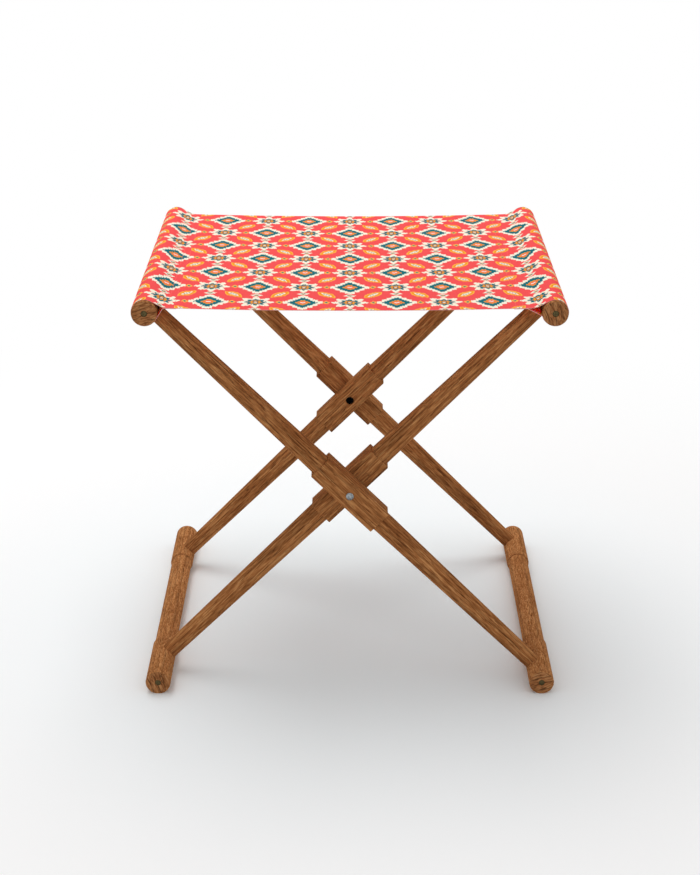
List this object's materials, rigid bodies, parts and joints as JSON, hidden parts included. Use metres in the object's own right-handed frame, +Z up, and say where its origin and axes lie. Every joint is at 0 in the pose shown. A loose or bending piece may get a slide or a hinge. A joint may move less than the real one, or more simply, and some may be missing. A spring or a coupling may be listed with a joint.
{
  "type": "folding sling stool",
  "caption": "Low folding stool: crossed turned wooden legs pinned at mid-height, round rails at top and floor, and a patterned cloth sling as the seat.",
  "frame": {"origin": "on the floor under the middle of the open stool", "axes": "+X across the seat from the left rail to the right rail, +Y to the rear along the rails, +Z up"},
  "size_m": [0.451, 0.412, 0.45],
  "materials": {
    "wood": "satin oiled medium brown hardwood, grain along each piece",
    "bolt_steel": "zinc-bright domed bolt heads and washers",
    "black_steel": "blackened barrel nuts",
    "pin_steel": "dull dark pins in the rail ends",
    "sling_cloth": "printed cotton canvas, coral ground with cream, teal and amber motifs"
  },
  "bodies": {
    "outer_frame": {"top_rail_left": "wood", "bottom_rail_right": "wood", "leg_outer_front": "wood", "leg_outer_rear": "wood", "sling_sleeve_left": "sling_cloth", "sling_panel": "sling_cloth", "pivot_bolt_front": "bolt_steel", "pivot_bolt_rear": "bolt_steel", "barrel_nut_front": "black_steel", "barrel_nut_rear": "black_steel", "spacer_washer_front": "bolt_steel", "spacer_washer_rear": "bolt_steel", "tenon_pin_top_left_front": "pin_steel", "tenon_pin_top_left_rear": "pin_steel", "tenon_pin_bottom_right_front": "pin_steel", "tenon_pin_bottom_right_rear": "pin_steel"},
    "inner_frame": {"top_rail_right": "wood", "bottom_rail_left": "wood", "leg_inner_front": "wood", "leg_inner_rear": "wood", "sling_sleeve_right": "sling_cloth", "tenon_pin_top_right_front": "pin_steel", "tenon_pin_top_right_rear": "pin_steel", "tenon_pin_bottom_left_front": "pin_steel", "tenon_pin_bottom_left_rear": "pin_steel"}
  },
  "joints": [
    {"name": "fold", "type": "hinge", "parent": "outer_frame", "child": "inner_frame", "pos_m": [0, 0, 0.22435], "axis": [0, -1, 0], "range_deg": [0, 82], "deforming": ["sling_panel"]}
  ]
}
